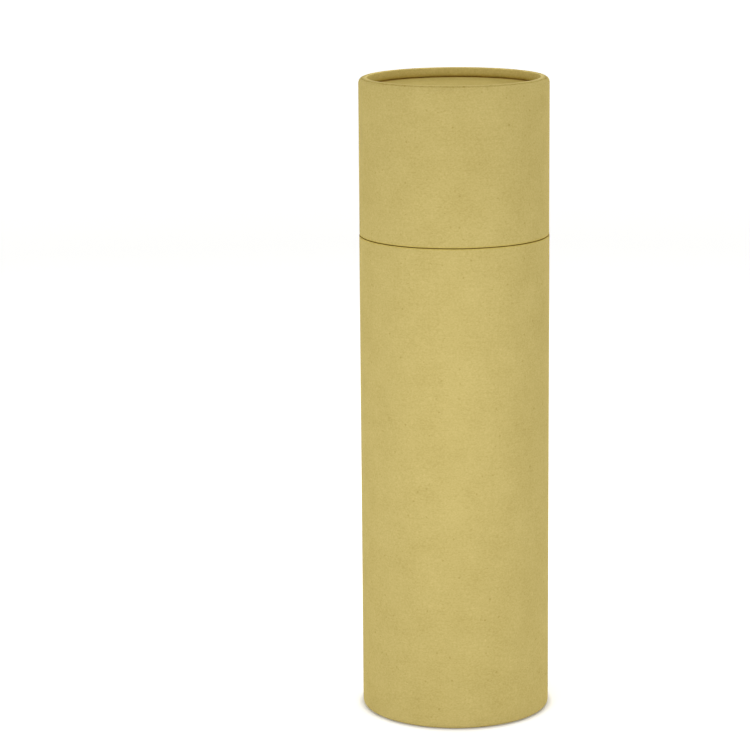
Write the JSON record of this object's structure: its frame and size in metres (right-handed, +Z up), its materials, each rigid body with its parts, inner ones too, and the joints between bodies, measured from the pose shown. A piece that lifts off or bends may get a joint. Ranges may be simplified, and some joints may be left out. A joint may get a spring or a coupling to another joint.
{
  "type": "bottle gift tube",
  "caption": "Upright round board gift tube for a bottle, with a lift-off lid over an inner neck, a rolled rim and foot, and recessed end discs.",
  "frame": {"origin": "middle of the foot, on the surface that the tube stands on", "axes": "+Z up along the tube's axis, from the foot to the lid's rim; +X and +Y are any two directions across, because the tube is round"},
  "size_m": [0.097, 0.097, 0.329],
  "materials": {
    "covering_paper": "matte",
    "disc_paper": "matte",
    "neck_board": "matte"
  },
  "bodies": {
    "base": {"body_tube": "covering_paper", "bottom_disc": "disc_paper", "neck_liner": "neck_board"},
    "lid": {"lid_tube": "covering_paper", "lid_disc": "disc_paper"}
  },
  "joints": [
    {"name": "lid_lift", "type": "slide", "parent": "base", "child": "lid", "axis": [0, 0, 1], "range_m": [0, 0.12]}
  ]
}
